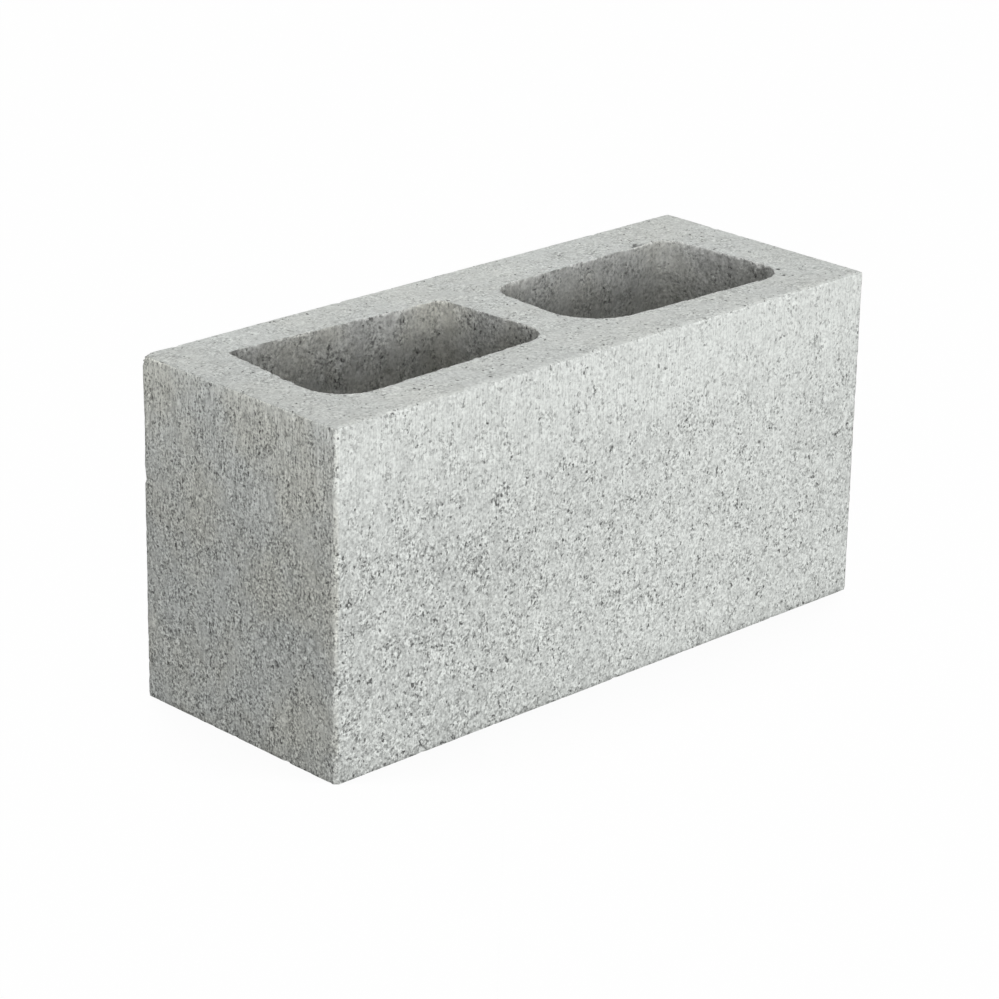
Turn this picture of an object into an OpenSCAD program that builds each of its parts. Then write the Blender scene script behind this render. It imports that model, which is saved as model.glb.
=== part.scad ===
// Hollow concrete masonry block with two through cores, cast as one piece.
// Millimetres. +Z is up, X runs along the wall and Y across its thickness.
// The origin is the middle of the bed face that the block stands on.

/* [Block] */
// Length along the wall, one module less a mortar joint
block_length = 390; // [290:1:450]
// Thickness across the wall
block_width = 150; // [140:1:200]
// Height of the course, one module less a mortar joint
block_height = 190; // [140:1:240]

/* [Walls, measured at the top] */
// Thickness of a face shell beside an end web
face_shell = 30; // [22:0.5:36]
// How much thicker a face shell grows towards the centre web
shell_flare = 4; // [0:0.5:8]
// Thickness of an end web
end_web = 30; // [22:0.5:40]
// Thickness of the centre web
centre_web = 28; // [20:0.5:40]

/* [Cores] */
// Corner radius of a core at the top
core_corner_radius = 14; // [8:0.5:18]
// How far each core wall leans in from the top down to the bottom
core_draft = 3; // [0:0.25:5]

/* [Arrises] */
// Rounding of the outer edges around the top
top_arris_radius = 2; // [1:0.5:8]
// Rounding of the four upright outer edges
upright_arris_radius = 2; // [1:0.5:10]

/* [Hidden] */

// Cuts and crossing profiles run past the faces by this much
overrun = 5;
// Sides of a full circle on the arrises and on the core corners
arris_sides = 64;
core_sides = 32;
// Dry grey concrete
concrete_colour = [0.74, 0.75, 0.73];

// Where the corner axes of one core stand, on the side of the centre web and of the end web
core_inner_x = centre_web / 2 + core_corner_radius;
core_outer_x = block_length / 2 - end_web - core_corner_radius;
core_outer_y = block_width / 2 - face_shell - core_corner_radius;
core_inner_y = core_outer_y - shell_flare;

// Corner radius of a core at a height: all its walls lean in by the same draft
function core_radius_at(z) = core_corner_radius - core_draft * (block_height - z) / block_height;

// Rectangle about the origin with four rounded corners
module rounded_plan(length, width, radius) {
    square([length - 2 * radius, width], center = true);
    square([length, width - 2 * radius], center = true);
    for (x_side = [-1, 1], y_side = [-1, 1])
        translate([x_side * (length / 2 - radius), y_side * (width / 2 - radius)])
            circle(r = radius, $fn = arris_sides);
}

// Rectangle standing on the X axis with its two upper corners rounded
module rounded_elevation(width, height, radius) {
    translate([-width / 2, 0]) square([width, height - radius]);
    translate([radius - width / 2, 0]) square([width - 2 * radius, height]);
    for (side = [-1, 1])
        translate([side * (width / 2 - radius), height - radius])
            circle(r = radius, $fn = arris_sides);
}

// Outer form: the plan, the front elevation and the end elevation crossed with each other
module outer_form() {
    intersection() {
        linear_extrude(height = block_height)
            rounded_plan(block_length, block_width, upright_arris_radius);
        rotate([90, 0, 0])
            linear_extrude(height = block_width + 2 * overrun, center = true)
                rounded_elevation(block_length, block_height, top_arris_radius);
        rotate([90, 0, 90])
            linear_extrude(height = block_length + 2 * overrun, center = true)
                rounded_elevation(block_width, block_height, top_arris_radius);
    }
}

// Upright tapered rod that one corner of a core turns around
module core_corner() {
    translate([0, 0, -overrun])
        cylinder(
            h = block_height + 2 * overrun,
            r1 = core_radius_at(-overrun),
            r2 = core_radius_at(block_height + overrun),
            $fn = core_sides
        );
}

// Core on the +X side, wider beside the end web than beside the centre web
module core() {
    hull()
        for (side = [-1, 1]) {
            translate([core_inner_x, side * core_inner_y]) core_corner();
            translate([core_outer_x, side * core_outer_y]) core_corner();
        }
}

// The whole block: outer form less its two cores
module concrete_block() {
    color(concrete_colour)
        difference() {
            outer_form();
            core();
            mirror([1, 0, 0]) core();
        }
}

concrete_block();
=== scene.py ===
"""Hollow concrete block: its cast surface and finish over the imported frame, on a plain studio stage."""

import math
from typing import NamedTuple

import bmesh
import bpy
from mathutils import Matrix, Vector, noise


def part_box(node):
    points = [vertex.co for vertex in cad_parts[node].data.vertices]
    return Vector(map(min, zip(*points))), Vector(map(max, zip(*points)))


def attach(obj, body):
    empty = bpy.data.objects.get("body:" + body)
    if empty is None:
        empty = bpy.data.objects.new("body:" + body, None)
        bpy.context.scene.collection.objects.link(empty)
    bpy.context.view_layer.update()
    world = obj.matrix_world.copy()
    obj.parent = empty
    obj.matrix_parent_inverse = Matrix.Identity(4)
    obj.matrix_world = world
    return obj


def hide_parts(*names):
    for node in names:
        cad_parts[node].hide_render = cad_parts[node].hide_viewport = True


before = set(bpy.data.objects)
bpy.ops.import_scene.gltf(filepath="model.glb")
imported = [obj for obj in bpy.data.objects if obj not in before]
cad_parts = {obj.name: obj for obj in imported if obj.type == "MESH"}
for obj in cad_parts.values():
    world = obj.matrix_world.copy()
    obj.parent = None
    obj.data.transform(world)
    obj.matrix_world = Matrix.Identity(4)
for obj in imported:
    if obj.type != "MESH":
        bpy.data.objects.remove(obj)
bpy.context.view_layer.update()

bl_info = {
    "name": "Hollow concrete block",
    "version": (1, 0, 0),
    "blender": (4, 5, 0),
    "location": "3D View > Sidebar > Concrete block",
    "description": "Casts the surface of a hollow concrete block and sets it on a studio stage",
    "category": "Object",
}

NODE = "concrete_block"
BODY = "root"
TRIANGLE_LIMIT = 200000
MM = 0.001

LOW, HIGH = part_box(NODE)
HALF_LENGTH = HIGH.x
HALF_WIDTH = HIGH.y
HEIGHT = HIGH.z


class Layer(NamedTuple):
    """One effect in a face's finish: its size across and upright, its part in tone and height.

    For pits, also the tone of the painted highlight round their brinks and the share of them on closed
    skin; a pit layer's tone is painted shade in the pits.
    """

    across: float
    upright: float
    tone: float = 0.0
    height: float = 0.0
    brink_highlight: float = 0.0
    share: float = 0.0


class Band(NamedTuple):
    """A stretch over which a mask grows from none to full, and what the full mask adds to the tone"""

    none: float
    full: float
    tone: float = 0.0


class Contrast(NamedTuple):
    """How strongly the grain shows on closed skin, and how much more where the skin is open"""

    closed: float
    opened: float


class RimCorner(NamedTuple):
    """A corner of a core's rim as cast: its shift from the drawn place and its radius.

    Core -1 is the left one, end 1 is by the end web, side 1 is at the back.
    """

    core: int
    end: int
    side: int
    shift: tuple
    radius: float


class Chip(NamedTuple):
    """A chip or a deeper pit in the surface"""

    centre: tuple
    radius: float
    depth: float


class Lamp(NamedTuple):
    """A soft lamp's place, width and height"""

    place: tuple
    width: float
    height: float


# The three kinds of face, in the order of their material slots
SIDE, BED, CORE = range(3)

# A face is a bed face where its normal stands this upright, give or take some unevenness; any other
# face this near the outside is a side
BED_SLOPE = 0.7
BED_SLOPE_SPREAD = 0.2
BED_SLOPE_STEP = 4 * MM
SIDE_REACH = 2 * MM

# How much of the side faces' relief a bed face and a core wall carry
WAVE_SHARES = {SIDE: 1.0, BED: 0.5, CORE: 1.6}
GRAIN_SHARES = {SIDE: 1.0, BED: 0.5, CORE: 1.6}
PIT_SHARES = {SIDE: 1.0, BED: 0.5, CORE: 0.9}
DRAG_SHARES = {SIDE: 1.0, BED: 0.0, CORE: 2.2}

# Waves sink a face more than they raise it; grit and pits are taller than wide
WAVE_SINK = 0.4
UPRIGHT_STRETCH = 1.4
GRAIN_ROUGHNESS = 0.7
PIT_ROUGHNESS = 0.8
FREQUENCY_STEP = 2.0
RELIEF_OCTAVES = 2
# In the noise that opens the pits, where one starts and where it is deepest
PIT_BRINK = 0.42
PIT_BOTTOM = 0.8
# Drag marks are this strong low down, and grow from this share of the height to full strength at the top
LOW_DRAG = 0.3
DRAG_START = 0.4
# Height over which the relief fades towards the bottom edges, which stay straight
FIRM_FOOT = 4 * MM

# Wear of the outer edges: long and short unevenness, and the part of the edge that stays whole
WEAR_LONG_STEP = 9 * MM
WEAR_SHORT_STEP = 3.5 * MM
WEAR_SHORT_SHARE = 0.6
WEAR_SPARED = 0.1

# Radius of the cores' corners at the rim, as drawn, and where the rim's vertices are found
CORNER_RADIUS = 14 * MM
RIM_DEPTH = 1 * MM
RIM_INSET = 10 * MM
RIM_CORNERS = (
    RimCorner(core=-1, end=1, side=1, shift=(4.6 * MM, 3 * MM), radius=3 * MM),
    RimCorner(core=-1, end=1, side=-1, shift=(-1.9 * MM, 0.2 * MM), radius=24.5 * MM),
    RimCorner(core=-1, end=-1, side=1, shift=(-3.5 * MM, -0.5 * MM), radius=4 * MM),
    RimCorner(core=-1, end=-1, side=-1, shift=(0.5 * MM, 0.7 * MM), radius=18 * MM),
    RimCorner(core=1, end=-1, side=1, shift=(0.5 * MM, -3 * MM), radius=17 * MM),
    RimCorner(core=1, end=-1, side=-1, shift=(-1.6 * MM, -3.6 * MM), radius=32 * MM),
    RimCorner(core=1, end=1, side=1, shift=(-7 * MM, -4.4 * MM), radius=9 * MM),
    RimCorner(core=1, end=1, side=-1, shift=(-2.5 * MM, -3.2 * MM), radius=20 * MM),
)

# Where the rim of one core broke ragged when the mould was drawn: the stretch in plan and its reach
RAGGED_RIM = ((0.157, 0.024), (0.162, -0.034))
RAGGED_REACH = 8 * MM
RAGGED_HEIGHT = 1.6 * MM
CRUMB_STEP = 5 * MM
CRUMB_ROUGHNESS = 0.8
CRUMB_OCTAVES = 3
CRUMB_LIFT = 0.2

# A chipped corner, three double pits and two shallow chips by the right core, and two chips at the foot
CHIPS = (
    Chip(centre=(-HALF_LENGTH, HALF_WIDTH, HEIGHT), radius=6 * MM, depth=0.9 * MM),
    Chip(centre=(0.1562, -0.0496, HEIGHT), radius=2 * MM, depth=3.4 * MM),
    Chip(centre=(0.1578, -0.0484, HEIGHT), radius=1.3 * MM, depth=2 * MM),
    Chip(centre=(0.1798, -0.052, HEIGHT), radius=1.6 * MM, depth=2.8 * MM),
    Chip(centre=(0.1808, -0.0504, HEIGHT), radius=1 * MM, depth=1.6 * MM),
    Chip(centre=(0.1636, -0.0388, HEIGHT), radius=1.5 * MM, depth=2 * MM),
    Chip(centre=(0.1618, -0.0408, HEIGHT), radius=2 * MM, depth=1.4 * MM),
    Chip(centre=(0.136, 0.041, HEIGHT), radius=9 * MM, depth=1 * MM),
    Chip(centre=(0.153, 0.034, HEIGHT), radius=8 * MM, depth=1 * MM),
    Chip(centre=(-0.087, -HALF_WIDTH, 0.006), radius=4 * MM, depth=0.8 * MM),
    Chip(centre=(-0.115, -HALF_WIDTH, 0.006), radius=5 * MM, depth=0.9 * MM),
)
# Unevenness of a chip's outline and of its floor, and the part of its radius that slopes
CHIP_OUTLINE = 0.6
CHIP_OUTLINE_STEP = 1.7 * MM
CHIP_FLOOR = 0.6
CHIP_FLOOR_STEP = 2.5 * MM
CHIP_SLOPE = 0.6

# The darkest hollow and the palest grain, as shares of the cement's colour
DARKEST_TONE = 0.25
PALEST_TONE = 1.65
# In the noise of the pits: the fall from a brink, the lowest brink and its rise with the share of pits
PIT_SLOPE = 0.07
FEWEST_PITS = 0.2
PIT_RISE = 0.5
# How much larger the share of pits is where the skin is open
OPEN_SKIN_PITS = 0.06
# In the noise of the skin, from closed cement to bare sand, and in the noise that shifts the hue
OPEN_SKIN = Band(none=-0.14, full=0.13)
HUE_SHIFT = Band(none=-0.15, full=0.2)
HUE_DRIFT = Layer(across=45 * MM, upright=45 * MM)
# How much single grains differ in tone
GRAIN_TONES = 0.22

SIDE_TONE = 1.07
SIDE_CLOUD = Layer(across=36 * MM, upright=36 * MM, tone=0.22)
SIDE_SKIN = Layer(across=8 * MM, upright=10 * MM, tone=-0.05)
SIDE_STREAK = Layer(across=0.9 * MM, upright=9 * MM, tone=0.75, height=0.35 * MM)
SIDE_SAND = Layer(across=1.3 * MM, upright=1.45 * MM, tone=2.35, height=0.5 * MM)
# A pit layer's tone is painted shade in the pits, and its brink tone a painted highlight round them
SIDE_FINE_PITS = Layer(
    across=2.1 * MM, upright=2.7 * MM, tone=-0.6, height=-0.5 * MM, brink_highlight=0.16, share=0.31)
SIDE_LARGE_PITS = Layer(
    across=4.2 * MM, upright=5.2 * MM, tone=-0.36, height=-0.7 * MM, brink_highlight=0.1, share=0.25)
# By the distance from an end, along the length and by height
SIDE_END = Band(none=3 * MM, full=1 * MM)
# Along the length, painted light that grows towards the right of the long faces, where their skin also
# closes
SIDE_RIGHT_LIGHT_AND_SKIN = Band(none=-0.8 * HALF_LENGTH, full=0.4 * HALF_LENGTH, tone=0.2)
SIDE_UPPER = Band(none=0.48 * HEIGHT, full=0.92 * HEIGHT, tone=0.24)
# Painted shade along the top arris of the sides
SIDE_ARRIS = Band(none=HEIGHT - 3 * MM, full=HEIGHT - 1 * MM, tone=-0.14)
SIDE_COLLAR = Band(none=HEIGHT - 14 * MM, full=HEIGHT - 5 * MM, tone=0.17)
SIDE_FOOT = Band(none=13 * MM, full=1 * MM, tone=-0.1)
SIDE_SOLE = Band(none=2.5 * MM, full=0.5 * MM, tone=-0.12)
# How far the stretch towards the right counts as upper, where it gets painted light, and how far its skin
# is closed
RIGHT_STRETCH_SHARE = 0.75
RIGHT_SKIN_CLOSING = 0.4
# What closes the skin high on the long faces and opens it on the ends
UPPER_SKIN = -0.12
END_SKIN = 0.04
# Streaks all over and how much stronger they get at the top; how much weaker the pits are on the ends
PLAIN_STREAKS = 0.4
UPPER_STREAKS = 1.15
END_PITS = -0.4
SIDE_CONTRAST = Contrast(closed=0.73, opened=0.6)
UPPER_CONTRAST = Contrast(closed=-0.2, opened=0.35)
END_CONTRAST = Contrast(closed=-0.1, opened=0.3)
# Share of the warm tone on the long faces, and what the ends add
SIDE_WARMTH = 0.04
END_WARMTH = 0.96

BED_TONE = 1.04
BED_CLOUD = Layer(across=30 * MM, upright=30 * MM, tone=0.2)
BED_SKIN = Layer(across=12 * MM, upright=12 * MM, tone=-0.04)
BED_PATCH = Layer(across=4.5 * MM, upright=4.5 * MM, tone=0.35)
BED_SAND = Layer(across=1.35 * MM, upright=1.35 * MM, tone=1.35, height=0.22 * MM)
# A pit layer's tone is painted shade in the pits, and its brink tone a painted highlight round them
BED_PITS = Layer(
    across=2.4 * MM, upright=2.4 * MM, tone=-1.1, height=-0.5 * MM, brink_highlight=0.1, share=0.262)
# Along the length, and by the distance from half height, so that both beds have it
BED_PAST_END = Band(none=-0.9 * HALF_LENGTH, full=-0.75 * HALF_LENGTH, tone=0.05)
# Painted shade in the hollows that sink below a bed face
BED_PIT_SHADE = Band(none=HEIGHT / 2 - 0.55 * MM, full=HEIGHT / 2 - 1.2 * MM, tone=-0.8)
# What closes the skin that the press leaves
PRESSED_SKIN = -0.03
BED_CONTRAST = Contrast(closed=0.6, opened=0.75)
# Share of the warm tone
BED_WARMTH = 0.28

CORE_TONE = 0.96
CORE_CLOUD = Layer(across=18 * MM, upright=18 * MM, tone=0.45)
CORE_SKIN = Layer(across=14 * MM, upright=18 * MM, tone=-0.04)
CORE_STREAK = Layer(across=1.8 * MM, upright=10 * MM, tone=0.35, height=0.45 * MM)
CORE_SAND = Layer(across=1.65 * MM, upright=1.7 * MM, tone=2.2, height=0.8 * MM)
# A pit layer's tone is painted shade in the pits, and its brink tone a painted highlight round them
CORE_PITS = Layer(
    across=2.8 * MM, upright=3.4 * MM, tone=-0.4, height=-0.7 * MM, brink_highlight=0.15, share=0.32)
# By height, across the width and along the length
CORE_RIM = Band(none=HEIGHT - 27 * MM, full=HEIGHT - 8 * MM)
CORE_BACK = Band(none=5 * MM, full=32 * MM)
CORE_PAST_END = Band(none=-0.75 * HALF_LENGTH, full=-0.1 * HALF_LENGTH)
CORE_LEFT = Band(none=20 * MM, full=-20 * MM)
CORE_FAR_END = Band(none=0.45 * HALF_LENGTH, full=0.8 * HALF_LENGTH, tone=0.07)
# Painted light high on the back walls of the cores, fading towards the left end of the left core
PAINTED_RIM_LIGHT_TONE = 0.34
CORE_CONTRAST = Contrast(closed=0.6, opened=0.75)
# Strength of the grain deep in a core, what it gains at the rim and loses at the far end
DEEP_GRAIN = 0.72
RIM_GRAIN = 0.33
FAR_END_GRAIN = -0.22
# Relief left on closed skin, and what open skin adds
CLOSED_RELIEF = 0.3
OPEN_RELIEF = 0.7
# Share of the warm tone in the cores, and what the left one adds
CORE_WARMTH = 0.45
LEFT_CORE_WARMTH = 0.35

# The lamps by name, whose power is in the stage's settings
LAMPS = {
    "overhead": Lamp(place=(0.0, 0.0, 2.1), width=1.2, height=1.2),
    "key": Lamp(place=(-2.35, -3.24, 0.72), width=1.9, height=1.9),
    "low": Lamp(place=(-0.56, -3.96, 0.095), width=1.9, height=0.16),
    "back": Lamp(place=(1.9, 3.3, 0.55), width=1.9, height=1.9),
}
FLOOR_REACH = 15.0
FLOOR_GREY = 0.5
# How much of the floor that the camera sees is plain white
FLOOR_WHITE = 0.99
# The shade that the block's nearness lays on that white: its reach, how fast it falls off, its depth
SHADE_REACH = 0.15
SHADE_SAMPLES = 4
SHADE_FALL = 8.0
SHADE_DEPTH = 0.7


class BlockRelief(bpy.types.PropertyGroup):
    """Depths and spacings of the cast surface"""

    cell: bpy.props.FloatProperty(
        name="Cell", description="Step of the mesh that the relief is worked in",
        default=1.0 * MM, min=0.5 * MM, unit="LENGTH")
    triangles: bpy.props.IntProperty(
        name="Triangles", description="Triangles left once the flat stretches are thinned",
        default=196000, min=20000)
    wave_depth: bpy.props.FloatProperty(
        name="Wave depth", description="Slow unevenness of a face", default=0.2 * MM, unit="LENGTH")
    wave_length: bpy.props.FloatProperty(
        name="Wave length", description="Length of that unevenness", default=42 * MM, unit="LENGTH")
    grain_depth: bpy.props.FloatProperty(
        name="Grain depth", description="Height of the coarse grit", default=0.16 * MM, unit="LENGTH")
    grain_length: bpy.props.FloatProperty(
        name="Grain length", description="Size of the coarse grit", default=4.5 * MM, unit="LENGTH")
    pit_depth: bpy.props.FloatProperty(
        name="Pit depth", description="Depth of the deepest open pits", default=0.8 * MM, unit="LENGTH")
    pit_spacing: bpy.props.FloatProperty(
        name="Pit spacing", description="Distance between places where a pit may open",
        default=6 * MM, unit="LENGTH")
    drag_depth: bpy.props.FloatProperty(
        name="Drag depth", description="Depth of the upright marks left by the mould",
        default=0.14 * MM, unit="LENGTH")
    drag_width: bpy.props.FloatProperty(
        name="Drag width", description="Width of a drag mark", default=3 * MM, unit="LENGTH")
    drag_length: bpy.props.FloatProperty(
        name="Drag length", description="Length of a drag mark", default=28 * MM, unit="LENGTH")
    arris_wear: bpy.props.FloatProperty(
        name="Arris wear", description="How far the rounded outer edges are worn back",
        default=0.5 * MM, unit="LENGTH")
    arris_reach: bpy.props.FloatProperty(
        name="Arris reach", description="How far from an edge the wear goes", default=3.5 * MM,
        unit="LENGTH")


class BlockColours(bpy.types.PropertyGroup):
    """Colours of the dry concrete"""

    cement: bpy.props.FloatVectorProperty(
        name="Cement", description="Main tone of the dry cement", subtype="COLOR",
        default=(0.555, 0.573, 0.555), min=0, max=1)
    warm_cement: bpy.props.FloatVectorProperty(
        name="Warm cement", description="Tone that the cement drifts to in patches", subtype="COLOR",
        default=(0.566, 0.572, 0.53), min=0, max=1)
    core_cement: bpy.props.FloatVectorProperty(
        name="Core cement", description="Tone of the open walls inside the cores", subtype="COLOR",
        default=(0.548, 0.555, 0.54), min=0, max=1)
    warm_core: bpy.props.FloatVectorProperty(
        name="Warm core", description="Tone that the core walls drift to in patches", subtype="COLOR",
        default=(0.559, 0.556, 0.506), min=0, max=1)
    grain_contrast: bpy.props.FloatProperty(
        name="Grain contrast", description="How far pale and dark sand stand out from the cement",
        default=1.0, min=0, subtype="FACTOR", soft_max=2)


class StageSettings(bpy.types.PropertyGroup):
    """Camera and light of the studio"""

    azimuth: bpy.props.FloatProperty(
        name="Azimuth", description="Where the camera stands round the block, 0 before its long face",
        default=math.radians(-44.35), subtype="ANGLE")
    elevation: bpy.props.FloatProperty(
        name="Elevation", description="How far the camera looks down", default=math.radians(20.95),
        subtype="ANGLE")
    roll: bpy.props.FloatProperty(
        name="Roll", description="Tilt of the picture", default=math.radians(1.06), subtype="ANGLE")
    distance: bpy.props.FloatProperty(
        name="Distance", description="From the camera to the point that it aims at", default=1.93,
        unit="LENGTH")
    aim: bpy.props.FloatVectorProperty(
        name="Aim", description="Point that the camera looks at", default=(0.0, 0.0109, 0.0794),
        subtype="XYZ", unit="LENGTH")
    lens: bpy.props.FloatProperty(
        name="Lens", description="Focal length in millimetres", default=127.6)
    sky: bpy.props.FloatProperty(
        name="Sky", description="Strength of the even light from all round", default=0.2)
    overhead_watts: bpy.props.FloatProperty(
        name="Overhead light", description="Power of the soft lamp above the block", default=23.8)
    key_watts: bpy.props.FloatProperty(
        name="Key light", description="Power of the soft lamp to the left of the camera's side",
        default=58.0)
    low_watts: bpy.props.FloatProperty(
        name="Low light", description="Power of the low strip before the long face", default=50.0)
    back_watts: bpy.props.FloatProperty(
        name="Back light", description="Power of the soft lamp behind the block", default=26.0)


def add_node(tree, kind, inputs=None, **settings):
    """Add a node, with its settings, and give each named or numbered input a value or a link."""
    node = tree.nodes.new(kind)
    for name, value in settings.items():
        setattr(node, name, value)
    for key, value in (inputs or {}).items():
        if isinstance(value, bpy.types.NodeSocket):
            tree.links.new(value, node.inputs[key])
        else:
            node.inputs[key].default_value = value
    return node


def calc(tree, operation, *values):
    """A Math node's result."""
    return add_node(tree, "ShaderNodeMath", dict(enumerate(values)), operation=operation).outputs[0]


def scale_add(tree, value, factor, start):
    """A value times a factor, added to a start."""
    return calc(tree, "MULTIPLY_ADD", value, factor, start)


def product(tree, first, second):
    """Two values multiplied."""
    return calc(tree, "MULTIPLY", first, second)


def weigh(tree, *terms):
    """The sum of values, each times its weight."""
    total = 0.0
    for value, weight in terms:
        total = scale_add(tree, value, weight, total)
    return total


def ramp(tree, value, low, high):
    """A smooth step from 0 at low to 1 at high."""
    node = add_node(
        tree, "ShaderNodeMapRange", {"Value": value, "From Min": low, "From Max": high},
        interpolation_type="SMOOTHSTEP")
    return node.outputs["Result"]


def mask(tree, value, band):
    """How far a value has gone through a band, from 0 to 1."""
    return ramp(tree, value, band.none, band.full)


def effect(tree, group, place, layer, **inputs):
    """A shared effect at a layer's size, as its outputs."""
    steps = (layer.across, layer.across, layer.upright)
    counted = add_node(tree, "ShaderNodeVectorMath", {0: place, 1: steps}, operation="DIVIDE").outputs[0]
    return add_node(tree, "ShaderNodeGroup", {"Place": counted, **inputs}, node_tree=group).outputs


def new_group(name, inputs, outputs):
    """An empty shader node group with value sockets, and a vector socket for the place."""
    tree = bpy.data.node_groups.new(name, "ShaderNodeTree")
    tree.interface.new_socket("Place", in_out="INPUT", socket_type="NodeSocketVector")
    for socket in inputs:
        tree.interface.new_socket(socket, in_out="INPUT", socket_type="NodeSocketFloat")
    for socket in outputs:
        tree.interface.new_socket(socket, in_out="OUTPUT", socket_type="NodeSocketFloat")
    return tree, tree.nodes.new("NodeGroupInput").outputs, tree.nodes.new("NodeGroupOutput").inputs


def sand_grain_group():
    """Packed sand: light and dark grains of irregular shape, and their height."""
    tree, given, result = new_group("Sand grain", (), ("Tone", "Height"))
    packed = add_node(
        tree, "ShaderNodeTexNoise",
        {"Vector": given["Place"], "Scale": 1.0, "Detail": 2.0, "Roughness": 0.65})
    cells = add_node(
        tree, "ShaderNodeTexVoronoi", {"Vector": given["Place"], "Scale": 0.9}, feature="F1")
    shade = add_node(tree, "ShaderNodeSeparateColor", {"Color": cells.outputs["Color"]})
    height = calc(tree, "SUBTRACT", packed.outputs["Fac"], 0.5)
    single = calc(tree, "SUBTRACT", shade.outputs["Red"], 0.5)
    tree.links.new(weigh(tree, (height, 1.0), (single, GRAIN_TONES)), result["Tone"])
    tree.links.new(height, result["Height"])
    return tree


def open_pits_group():
    """Small holes with ragged outlines, more of them as the share goes up, and the ring round their brinks,
    which the materials paint as a highlight.
    """
    tree, given, result = new_group("Open pits", ("Share",), ("Depth", "Lip"))
    ragged = add_node(
        tree, "ShaderNodeTexNoise",
        {"Vector": given["Place"], "Scale": 1.0, "Detail": 1.5, "Roughness": 0.6}).outputs["Fac"]
    brink = scale_add(tree, given["Share"], PIT_RISE, FEWEST_PITS)
    hole = ramp(tree, ragged, brink, calc(tree, "SUBTRACT", brink, PIT_SLOPE))
    around = ramp(tree, ragged, calc(tree, "ADD", brink, PIT_SLOPE), brink)
    tree.links.new(hole, result["Depth"])
    tree.links.new(calc(tree, "SUBTRACT", around, hole), result["Lip"])
    return tree


def mottle_group():
    """Cloudy change of tone about zero."""
    tree, given, result = new_group("Mottle", ("Detail",), ("Tone",))
    cloud = add_node(
        tree, "ShaderNodeTexNoise",
        {"Vector": given["Place"], "Scale": 1.0, "Detail": given["Detail"], "Roughness": 0.55})
    tree.links.new(calc(tree, "SUBTRACT", cloud.outputs["Fac"], 0.5), result["Tone"])
    return tree


def new_material(name, roughness):
    """A material with a Principled shader: its tree, the shader, the place and its three axes."""
    material = bpy.data.materials.new(name)
    material.use_nodes = True
    tree = material.node_tree
    shader = tree.nodes["Principled BSDF"]
    shader.inputs["Roughness"].default_value = roughness
    shader.inputs["Specular IOR Level"].default_value = 0.25
    place = add_node(tree, "ShaderNodeTexCoord").outputs["Object"]
    axes = add_node(tree, "ShaderNodeSeparateXYZ", {0: place}).outputs
    return material, tree, shader, place, axes


def finish_concrete(tree, shader, colour, tone, height):
    """Scale a colour by the tone of its grain, and bump the surface by a height in metres."""
    kept = calc(tree, "MINIMUM", calc(tree, "MAXIMUM", tone, DARKEST_TONE), PALEST_TONE)
    tinted = add_node(
        tree, "ShaderNodeVectorMath", {0: colour, "Scale": kept}, operation="SCALE")
    tree.links.new(tinted.outputs[0], shader.inputs["Base Color"])
    bump = add_node(tree, "ShaderNodeBump", {"Height": height, "Distance": 1.0, "Strength": 1.0})
    tree.links.new(bump.outputs["Normal"], shader.inputs["Normal"])


def mottle(tree, place, groups, layer, detail):
    """The cloudy tone of a layer."""
    return effect(tree, groups["mottle"], place, layer, Detail=detail)["Tone"]


def drifting_colour(tree, place, groups, plain, other, share):
    """A colour that drifts, by a share, from its plain tone to another over a hand's width."""
    drift = mottle(tree, place, groups, HUE_DRIFT, detail=3.0)
    blend = add_node(tree, "ShaderNodeMix", data_type="RGBA")
    tree.links.new(product(tree, mask(tree, drift, HUE_SHIFT), share), blend.inputs["Factor"])
    blend.inputs["A"].default_value = (*plain, 1)
    blend.inputs["B"].default_value = (*other, 1)
    return blend.outputs["Result"]


def open_share(tree, place, groups, layer, *shifts):
    """Where the skin is open, 0 on closed cement and 1 on bare sand, in patches of a layer's size."""
    skin = mottle(tree, place, groups, layer, detail=3.0)
    return mask(tree, weigh(tree, (skin, 1.0), *shifts), OPEN_SKIN)


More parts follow.
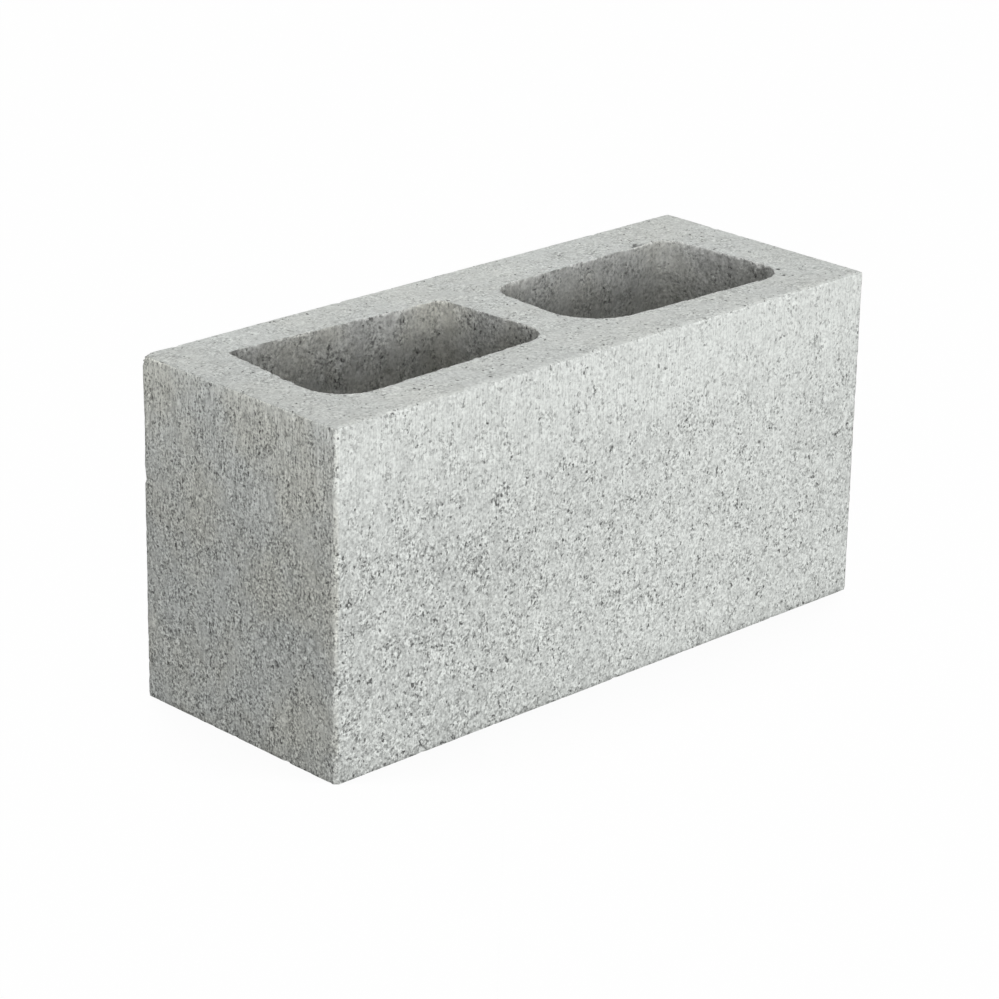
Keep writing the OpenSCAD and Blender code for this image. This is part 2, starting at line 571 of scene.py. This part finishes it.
def side_material(colours, groups):
    """Outer sides: patches of closed skin and open sand, closer, lighter and streaked towards the top;
    painted light towards the right of the long faces, painted shade along the top edge, and painted shade
    in the pits with painted highlights round them.
    """
    material, tree, shader, place, axes = new_material("dragged_concrete", roughness=0.92)
    end_gap = calc(tree, "SUBTRACT", HALF_LENGTH, calc(tree, "ABSOLUTE", axes["X"]))
    on_end = mask(tree, end_gap, SIDE_END)
    on_long = calc(tree, "SUBTRACT", 1.0, on_end)
    upper = mask(tree, axes["Z"], SIDE_UPPER)
    # Painted light: the long faces grow lighter towards the right, lightest high up there, and their skin
    # closes there too
    right_light_and_skin = mask(tree, axes["X"], SIDE_RIGHT_LIGHT_AND_SKIN)
    right_light_and_skin_long = product(tree, product(tree, right_light_and_skin, on_long), RIGHT_STRETCH_SHARE)
    lighter_top_and_lit_right = calc(tree, "MAXIMUM", upper, right_light_and_skin_long)
    painted_light_high_right = product(tree, upper, right_light_and_skin_long)
    upper_long = product(tree, upper, on_long)
    closed = calc(tree, "MAXIMUM", upper_long, product(tree, right_light_and_skin_long, RIGHT_SKIN_CLOSING))
    bare = open_share(tree, place, groups, SIDE_SKIN, (closed, UPPER_SKIN), (on_end, END_SKIN))

    cloud = mottle(tree, place, groups, SIDE_CLOUD, detail=2.0)
    streak = product(
        tree, mottle(tree, place, groups, SIDE_STREAK, detail=1.0),
        scale_add(tree, upper, UPPER_STREAKS, PLAIN_STREAKS))
    sand = effect(tree, groups["grain"], place, SIDE_SAND)
    share = scale_add(tree, bare, OPEN_SKIN_PITS, SIDE_FINE_PITS.share)
    fine_pits = effect(tree, groups["pits"], place, SIDE_FINE_PITS, Share=share)
    large_pits = effect(tree, groups["pits"], place, SIDE_LARGE_PITS, Share=SIDE_LARGE_PITS.share)

    # Painted shade in the pits and painted highlights round their brinks
    pit_shade_and_highlight = weigh(
        tree, (fine_pits["Depth"], SIDE_FINE_PITS.tone), (large_pits["Depth"], SIDE_LARGE_PITS.tone),
        (fine_pits["Lip"], SIDE_FINE_PITS.brink_highlight), (large_pits["Lip"], SIDE_LARGE_PITS.brink_highlight))
    grain_and_pit_shading = weigh(
        tree, (sand["Tone"], SIDE_SAND.tone), (streak, SIDE_STREAK.tone),
        (pit_shade_and_highlight, scale_add(tree, on_end, END_PITS, 1.0)))
    least = weigh(
        tree, (upper_long, UPPER_CONTRAST.closed), (on_end, END_CONTRAST.closed),
        (1.0, SIDE_CONTRAST.closed))
    spread = weigh(
        tree, (upper_long, UPPER_CONTRAST.opened), (on_end, END_CONTRAST.opened),
        (1.0, SIDE_CONTRAST.opened))
    contrast = product(tree, scale_add(tree, bare, spread, least), colours.grain_contrast)

    # Painted shade along the top arris
    arris = mask(tree, axes["Z"], SIDE_ARRIS)
    collar = product(tree, mask(tree, axes["Z"], SIDE_COLLAR), on_end)
    foot = product(tree, mask(tree, axes["Z"], SIDE_FOOT), on_long)
    sole = mask(tree, axes["Z"], SIDE_SOLE)
    tone = weigh(
        tree, (cloud, SIDE_CLOUD.tone), (lighter_top_and_lit_right, SIDE_UPPER.tone), (painted_light_high_right, SIDE_RIGHT_LIGHT_AND_SKIN.tone),
        (bare, SIDE_SKIN.tone), (arris, SIDE_ARRIS.tone), (collar, SIDE_COLLAR.tone),
        (foot, SIDE_FOOT.tone), (sole, SIDE_SOLE.tone), (grain_and_pit_shading, contrast))
    height = weigh(
        tree, (sand["Height"], SIDE_SAND.height), (streak, SIDE_STREAK.height),
        (fine_pits["Depth"], SIDE_FINE_PITS.height), (large_pits["Depth"], SIDE_LARGE_PITS.height))
    drift = scale_add(tree, on_end, END_WARMTH, SIDE_WARMTH)
    colour = drifting_colour(tree, place, groups, colours.cement, colours.warm_cement, drift)
    finish_concrete(tree, shader, colour, calc(tree, "ADD", tone, SIDE_TONE), height)
    return material


def bed_material(colours, groups):
    """Bed faces: pressed flat, closed skin with some fine sand and small pits, with painted shade in the
    pits, darkest in the deeper ones, and painted highlights round them.
    """
    material, tree, shader, place, axes = new_material("pressed_concrete", roughness=0.9)
    past_end = mask(tree, axes["X"], BED_PAST_END)
    # Painted shade where a bed face sinks into its deeper pits and chips
    from_middle = calc(tree, "ABSOLUTE", calc(tree, "SUBTRACT", axes["Z"], HEIGHT / 2))
    hollow = mask(tree, from_middle, BED_PIT_SHADE)
    bare = open_share(tree, place, groups, BED_SKIN, (1.0, PRESSED_SKIN))
    cloud = mottle(tree, place, groups, BED_CLOUD, detail=2.0)
    patch = mottle(tree, place, groups, BED_PATCH, detail=1.0)
    sand = effect(tree, groups["grain"], place, BED_SAND)
    share = scale_add(tree, bare, OPEN_SKIN_PITS, BED_PITS.share)
    pits = effect(tree, groups["pits"], place, BED_PITS, Share=share)
    # Sand and patches, with painted shade in the pits and painted highlights round them
    grain_and_pit_shading = weigh(
        tree, (sand["Tone"], BED_SAND.tone), (patch, BED_PATCH.tone), (pits["Depth"], BED_PITS.tone),
        (pits["Lip"], BED_PITS.brink_highlight))
    contrast = product(
        tree, scale_add(tree, bare, BED_CONTRAST.opened, BED_CONTRAST.closed), colours.grain_contrast)
    tone = weigh(
        tree, (cloud, BED_CLOUD.tone), (past_end, BED_PAST_END.tone), (hollow, BED_PIT_SHADE.tone),
        (bare, BED_SKIN.tone), (grain_and_pit_shading, contrast))
    height = weigh(tree, (sand["Height"], BED_SAND.height), (pits["Depth"], BED_PITS.height))
    colour = drifting_colour(tree, place, groups, colours.cement, colours.warm_cement, BED_WARMTH)
    finish_concrete(tree, shader, colour, calc(tree, "ADD", tone, BED_TONE), height)
    return material


def core_material(colours, groups):
    """Core walls: coarse broken sand between closer patches, with painted light below the rim on the back
    walls, fading towards the left end of the left core, and painted shade in the pits with painted
    highlights round them.
    """
    material, tree, shader, place, axes = new_material("core_concrete", roughness=0.95)
    near_rim = mask(tree, axes["Z"], CORE_RIM)
    at_back = mask(tree, axes["Y"], CORE_BACK)
    past_end = mask(tree, axes["X"], CORE_PAST_END)
    # Painted light: high on the back walls, fading towards the left end of the left core
    painted_rim_light = product(tree, near_rim, product(tree, at_back, past_end))
    on_left = mask(tree, axes["X"], CORE_LEFT)
    far_end = mask(tree, axes["X"], CORE_FAR_END)
    bare = open_share(tree, place, groups, CORE_SKIN)
    cloud = mottle(tree, place, groups, CORE_CLOUD, detail=3.0)
    streak = mottle(tree, place, groups, CORE_STREAK, detail=1.0)
    sand = effect(tree, groups["grain"], place, CORE_SAND)
    pits = effect(tree, groups["pits"], place, CORE_PITS, Share=CORE_PITS.share)
    # Sand and streaks, with painted shade in the pits and painted highlights round them
    grain_and_pit_shading = weigh(
        tree, (sand["Tone"], CORE_SAND.tone), (streak, CORE_STREAK.tone),
        (pits["Depth"], CORE_PITS.tone), (pits["Lip"], CORE_PITS.brink_highlight))
    spread = product(
        tree, scale_add(tree, bare, CORE_CONTRAST.opened, CORE_CONTRAST.closed),
        scale_add(tree, near_rim, RIM_GRAIN, DEEP_GRAIN))
    calm = product(tree, spread, scale_add(tree, far_end, FAR_END_GRAIN, 1.0))
    contrast = product(tree, calm, colours.grain_contrast)
    tone = weigh(
        tree, (cloud, CORE_CLOUD.tone), (painted_rim_light, PAINTED_RIM_LIGHT_TONE), (far_end, CORE_FAR_END.tone),
        (bare, CORE_SKIN.tone), (grain_and_pit_shading, contrast))
    rise = weigh(
        tree, (sand["Height"], CORE_SAND.height), (streak, CORE_STREAK.height),
        (pits["Depth"], CORE_PITS.height))
    height = product(tree, rise, scale_add(tree, bare, OPEN_RELIEF, CLOSED_RELIEF))
    drift = scale_add(tree, on_left, LEFT_CORE_WARMTH, CORE_WARMTH)
    colour = drifting_colour(tree, place, groups, colours.core_cement, colours.warm_core, drift)
    finish_concrete(tree, shader, colour, calc(tree, "ADD", tone, CORE_TONE), height)
    return material


def welded_copy():
    """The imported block's mesh as a bmesh, its loose triangles welded."""
    form = bmesh.new()
    form.from_mesh(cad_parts[NODE].data)
    bmesh.ops.remove_doubles(form, verts=form.verts, dist=0.001 * MM)
    return form


def outer_gaps(place):
    """Distances of a place from the block's two ends, its two long faces, its top and its bottom."""
    return (
        HALF_LENGTH - abs(place.x), HALF_WIDTH - abs(place.y), HIGH.z - place.z, place.z - LOW.z)


def stray_rims(form):
    """Move the corners of the core rims from where they are drawn to where they were cast."""
    rim = [
        vert for vert in form.verts
        if HIGH.z - vert.co.z < RIM_DEPTH and min(outer_gaps(vert.co)[:2]) > RIM_INSET]
    middle = sum(abs(vert.co.x) for vert in rim) / len(rim)
    arcs = {}
    for vert in rim:
        core = 1 if vert.co.x > 0 else -1
        end = 1 if abs(vert.co.x) > middle else -1
        side = 1 if vert.co.y > 0 else -1
        arcs.setdefault((core, end, side), []).append(vert)
    for corner in RIM_CORNERS:
        arc = arcs[corner.core, corner.end, corner.side]
        out = Vector((corner.core * corner.end, corner.side))
        drawn = Vector(
            max((vert.co[axis] for vert in arc), key=lambda at: at * out[axis]) for axis in (0, 1))
        centre = drawn - out * CORNER_RADIUS
        cast_centre = drawn + Vector(corner.shift) - out * corner.radius
        for vert in arc:
            vert.co.xy = cast_centre + (vert.co.xy - centre) * (corner.radius / CORNER_RADIUS)


def face_kind(place, normal):
    """Whether a place on the block is on an outer side, a bed face or a core wall."""
    if abs(normal.z) > BED_SLOPE + BED_SLOPE_SPREAD * noise.noise(place / BED_SLOPE_STEP):
        return BED
    return SIDE if min(outer_gaps(place)[:2]) < SIDE_REACH else CORE


def smooth_step(low, high, value):
    """0 below low, 1 above high and a smooth rise between."""
    t = min(max((value - low) / (high - low), 0.0), 1.0)
    return t * t * (3 - 2 * t)


def scaled(place, along, upright):
    """A place counted in one length along X and Y and another along Z."""
    return Vector((place.x / along, place.y / along, place.z / upright))


def pit_hollow(place, spacing):
    """Depth, from 0 to 1, of the ragged open pit at a place."""
    counted = scaled(place, spacing, UPRIGHT_STRETCH * spacing)
    hollow = noise.fractal(counted, PIT_ROUGHNESS, FREQUENCY_STEP, RELIEF_OCTAVES)
    return smooth_step(PIT_BRINK, PIT_BOTTOM, hollow)


def arris_wear(place, reach):
    """How worn, from 0 to 1, a place near a rounded outer edge is; the edges on the floor stay crisp."""
    end_gap, side_gap, top_gap, bottom_gap = outer_gaps(place)
    near = 1 - sorted((end_gap, side_gap, top_gap))[1] / reach
    if near <= 0 or bottom_gap < reach:
        return 0.0
    short = WEAR_SHORT_SHARE * noise.noise(place / WEAR_SHORT_STEP)
    worn = noise.noise(place / WEAR_LONG_STEP) + short - WEAR_SPARED
    return near * near * max(0.0, worn)


def chip_depth(place):
    """How deep, in metres, a place lies in one of the chips and deeper pits."""
    outline = CHIP_OUTLINE * noise.noise(place / CHIP_OUTLINE_STEP)
    floor = 1 + CHIP_FLOOR * noise.noise(place / CHIP_FLOOR_STEP)
    deepest = 0.0
    for chip in CHIPS:
        near = 1 - (place - Vector(chip.centre)).length / chip.radius + outline
        if near > 0:
            deepest = max(deepest, chip.depth * floor * smooth_step(0.0, CHIP_SLOPE, near))
    return deepest


def crumb_height(place):
    """How far, in metres, crumbs stand out of the core wall along its ragged stretch of rim."""
    start, end = (Vector(point) for point in RAGGED_RIM)
    along = min(max((place.xy - start).dot(end - start) / (end - start).length_squared, 0.0), 1.0)
    aside = (place.xy - start.lerp(end, along)).length
    near = (1 - aside / RAGGED_REACH) * (1 - (HIGH.z - place.z) / RAGGED_REACH)
    if aside > RAGGED_REACH or near <= 0:
        return 0.0
    lump = noise.fractal(place / CRUMB_STEP, CRUMB_ROUGHNESS, FREQUENCY_STEP, CRUMB_OCTAVES) + CRUMB_LIFT
    return RAGGED_HEIGHT * math.sqrt(near) * max(0.0, lump)


def relief_at(place, kind, sizes):
    """How far the surface stands out from its plain form, in metres; below zero is inwards."""
    wave = noise.noise(place / sizes.wave_length) - WAVE_SINK
    counted = scaled(place, sizes.grain_length, UPRIGHT_STRETCH * sizes.grain_length)
    grain = noise.fractal(counted, GRAIN_ROUGHNESS, FREQUENCY_STEP, RELIEF_OCTAVES)
    depth = sizes.wave_depth * WAVE_SHARES[kind] * wave + sizes.grain_depth * GRAIN_SHARES[kind] * grain
    depth -= sizes.pit_depth * PIT_SHARES[kind] * pit_hollow(place, sizes.pit_spacing)
    if DRAG_SHARES[kind]:
        rise = LOW_DRAG + (1 - LOW_DRAG) * smooth_step(DRAG_START, 1.0, place.z / HEIGHT)
        mark = noise.noise(scaled(place, sizes.drag_width, sizes.drag_length))
        depth += sizes.drag_depth * DRAG_SHARES[kind] * rise * mark
        depth *= smooth_step(-FIRM_FOOT, FIRM_FOOT, place.z - LOW.z)
    if kind == CORE:
        depth += crumb_height(place)
    else:
        depth -= sizes.arris_wear * arris_wear(place, sizes.arris_reach) + chip_depth(place)
    return depth


class CONCRETE_OT_cast_block(bpy.types.Operator):
    """Cast the block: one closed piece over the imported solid, with its relief and concrete finish"""

    bl_idname = "concrete.cast_block"
    bl_label = "Cast the block"

    def execute(self, context):
        sizes = context.scene.block_relief
        form = welded_copy()
        stray_rims(form)
        piece = self.new_piece(context, form)
        self.rework(piece, sizes.cell)
        self.paint(piece, context.scene.block_colours)
        self.roughen(piece, sizes)
        self.thin(piece, sizes.triangles)
        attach(piece, BODY)
        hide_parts(NODE)
        return {"FINISHED"}

    def new_piece(self, context, form):
        """An object at the origin that holds a bmesh."""
        mesh = bpy.data.meshes.new("cast_block")
        form.to_mesh(mesh)
        form.free()
        piece = bpy.data.objects.new("cast_block", mesh)
        context.scene.collection.objects.link(piece)
        return piece

    def apply(self, piece):
        """Replace the piece's mesh by what its modifiers make of it."""
        graph = bpy.context.evaluated_depsgraph_get()
        plain = piece.data
        piece.data = bpy.data.meshes.new_from_object(piece.evaluated_get(graph))
        piece.modifiers.clear()
        bpy.data.meshes.remove(plain)

    def rework(self, piece, cell):
        """Even out the mesh into small cells, which also eases every edge by about one cell."""
        remesh = piece.modifiers.new("cells", "REMESH")
        remesh.mode = "VOXEL"
        remesh.voxel_size = cell
        self.apply(piece)

    def paint(self, piece, colours):
        """Give each kind of face its own concrete."""
        groups = {"grain": sand_grain_group(), "pits": open_pits_group(), "mottle": mottle_group()}
        piece.data.materials.clear()
        for make in (side_material, bed_material, core_material):
            piece.data.materials.append(make(colours, groups))

    def roughen(self, piece, sizes):
        """Press the relief into the even mesh and sort its faces by kind."""
        form = bmesh.new()
        form.from_mesh(piece.data)
        for face in form.faces:
            face.material_index = face_kind(face.calc_center_median(), face.normal)
            face.smooth = True
        for vert in form.verts:
            kind = face_kind(vert.co, vert.normal)
            vert.co += vert.normal * relief_at(vert.co, kind, sizes)
            vert.co.z = min(max(vert.co.z, LOW.z), HIGH.z)
        form.to_mesh(piece.data)
        form.free()

    def thin(self, piece, triangles):
        """Thin the mesh where it is flat, down to a count of triangles."""
        thinner = piece.modifiers.new("thin", "DECIMATE")
        thinner.ratio = triangles / (2 * len(piece.data.polygons))
        thinner.use_collapse_triangulate = True
        self.apply(piece)
        if len(piece.data.polygons) > TRIANGLE_LIMIT:
            raise RuntimeError("the block's mesh is over its limit of triangles")


class CONCRETE_OT_studio_stage(bpy.types.Operator):
    """Set up the floor, the light and the camera"""

    bl_idname = "concrete.studio_stage"
    bl_label = "Set up the stage"

    def execute(self, context):
        settings = context.scene.stage_settings
        context.scene.view_settings.view_transform = "Standard"
        self.lay_floor(context)
        self.light_sky(context, settings.sky)
        for name, lamp in LAMPS.items():
            self.hang_lamp(context, name, lamp, getattr(settings, f"{name}_watts"))
        self.place_camera(context, settings)
        return {"FINISHED"}

    def seen_directly(self, tree):
        """1 where the camera, a reflection or a refraction sees the surface, else 0."""
        path = add_node(tree, "ShaderNodeLightPath").outputs
        glossy = calc(tree, "MAXIMUM", path["Is Camera Ray"], path["Is Glossy Ray"])
        return calc(tree, "MAXIMUM", glossy, path["Is Transmission Ray"])

    def lay_floor(self, context):
        """A wide grey floor that the camera sees as white, with a soft shade under and inside the block."""
        form = bmesh.new()
        bmesh.ops.create_grid(form, x_segments=1, y_segments=1, size=FLOOR_REACH)
        mesh = bpy.data.meshes.new("floor")
        form.to_mesh(mesh)
        form.free()
        floor = bpy.data.objects.new("floor", mesh)
        context.scene.collection.objects.link(floor)
        mesh.materials.append(self.floor_material())

    def floor_material(self):
        """Matt grey for the light, and shaded white for the camera."""
        material = bpy.data.materials.new("floor_white")
        material.use_nodes = True
        tree = material.node_tree
        matt = tree.nodes["Principled BSDF"]
        matt.inputs["Base Color"].default_value = (FLOOR_GREY, FLOOR_GREY, FLOOR_GREY, 1)
        matt.inputs["Roughness"].default_value = 1.0
        matt.inputs["Specular IOR Level"].default_value = 0.0
        open_sky = add_node(
            tree, "ShaderNodeAmbientOcclusion", {"Distance": SHADE_REACH},
            samples=SHADE_SAMPLES).outputs["AO"]
        hidden = calc(tree, "SUBTRACT", 1.0, open_sky)
        shade = product(tree, calc(tree, "POWER", hidden, SHADE_FALL), SHADE_DEPTH)
        glow = add_node(tree, "ShaderNodeEmission", {
            "Color": (1, 1, 1, 1), "Strength": calc(tree, "SUBTRACT", 1.0, shade)})
        mix = add_node(tree, "ShaderNodeMixShader", {
            0: product(tree, self.seen_directly(tree), FLOOR_WHITE),
            1: matt.outputs[0], 2: glow.outputs[0]})
        tree.links.new(mix.outputs[0], tree.nodes["Material Output"].inputs["Surface"])
        return material

    def light_sky(self, context, strength):
        """Even white light from all round, which the camera sees as plain white."""
        world = bpy.data.worlds.new("studio")
        world.use_nodes = True
        tree = world.node_tree
        even = tree.nodes["Background"]
        even.inputs["Color"].default_value = (1, 1, 1, 1)
        even.inputs["Strength"].default_value = strength
        white = add_node(tree, "ShaderNodeBackground", {"Color": (1, 1, 1, 1), "Strength": 1.0})
        mix = add_node(tree, "ShaderNodeMixShader", {
            0: self.seen_directly(tree), 1: even.outputs[0], 2: white.outputs[0]})
        tree.links.new(mix.outputs[0], tree.nodes["World Output"].inputs["Surface"])
        context.scene.world = world

    def hang_lamp(self, context, name, lamp, watts):
        """A soft lamp that faces the middle of the block."""
        light = bpy.data.lights.new(name, "AREA")
        light.shape = "ELLIPSE"
        light.size = lamp.width
        light.size_y = lamp.height
        light.energy = watts
        holder = bpy.data.objects.new(name, light)
        holder.location = lamp.place
        aim = Vector((0, 0, HEIGHT / 2)) - holder.location
        holder.rotation_euler = aim.to_track_quat("-Z", "Y").to_euler()
        context.scene.collection.objects.link(holder)

    def place_camera(self, context, settings):
        """A camera at the photograph's angle, turned a little about its own axis."""
        camera = bpy.data.cameras.new("camera")
        camera.sensor_width = 36.0
        camera.lens = settings.lens
        azimuth, elevation = settings.azimuth, settings.elevation
        back = Vector((
            math.sin(azimuth) * math.cos(elevation),
            -math.cos(azimuth) * math.cos(elevation),
            math.sin(elevation)))
        right = Vector((math.cos(azimuth), math.sin(azimuth), 0.0))
        level = Matrix((right, back.cross(right), back)).transposed()
        turned = Matrix.Rotation(settings.roll, 3, back) @ level
        stand = Matrix.Translation(Vector(settings.aim) + back * settings.distance)
        holder = bpy.data.objects.new("camera", camera)
        holder.matrix_world = stand @ turned.to_4x4()
        context.scene.collection.objects.link(holder)
        context.scene.camera = holder


class CONCRETE_PT_sidebar(bpy.types.Panel):
    """Sizes, colours and steps of the concrete block"""

    bl_label = "Concrete block"
    bl_idname = "CONCRETE_PT_sidebar"
    bl_space_type = "VIEW_3D"
    bl_region_type = "UI"
    bl_category = "Concrete block"

    def draw(self, context):
        scene = context.scene
        for group in (scene.block_relief, scene.block_colours, scene.stage_settings):
            box = self.layout.box()
            for name in group.__annotations__:
                box.prop(group, name)
        for step in OPERATORS:
            self.layout.operator(step.bl_idname)


GROUPS = {"block_relief": BlockRelief, "block_colours": BlockColours, "stage_settings": StageSettings}
OPERATORS = (CONCRETE_OT_cast_block, CONCRETE_OT_studio_stage)
CLASSES = (*GROUPS.values(), *OPERATORS, CONCRETE_PT_sidebar)


def register():
    """Add the classes and their settings to Blender."""
    for item in CLASSES:
        bpy.utils.register_class(item)
    for name, group in GROUPS.items():
        setattr(bpy.types.Scene, name, bpy.props.PointerProperty(type=group))


def unregister():
    """Take the settings and the classes out again."""
    for name in GROUPS:
        delattr(bpy.types.Scene, name)
    for item in reversed(CLASSES):
        bpy.utils.unregister_class(item)


def main():
    """Make the block and the stage."""
    register()
    bpy.ops.concrete.cast_block()
    bpy.ops.concrete.studio_stage()


if __name__ == "__main__":
    main()
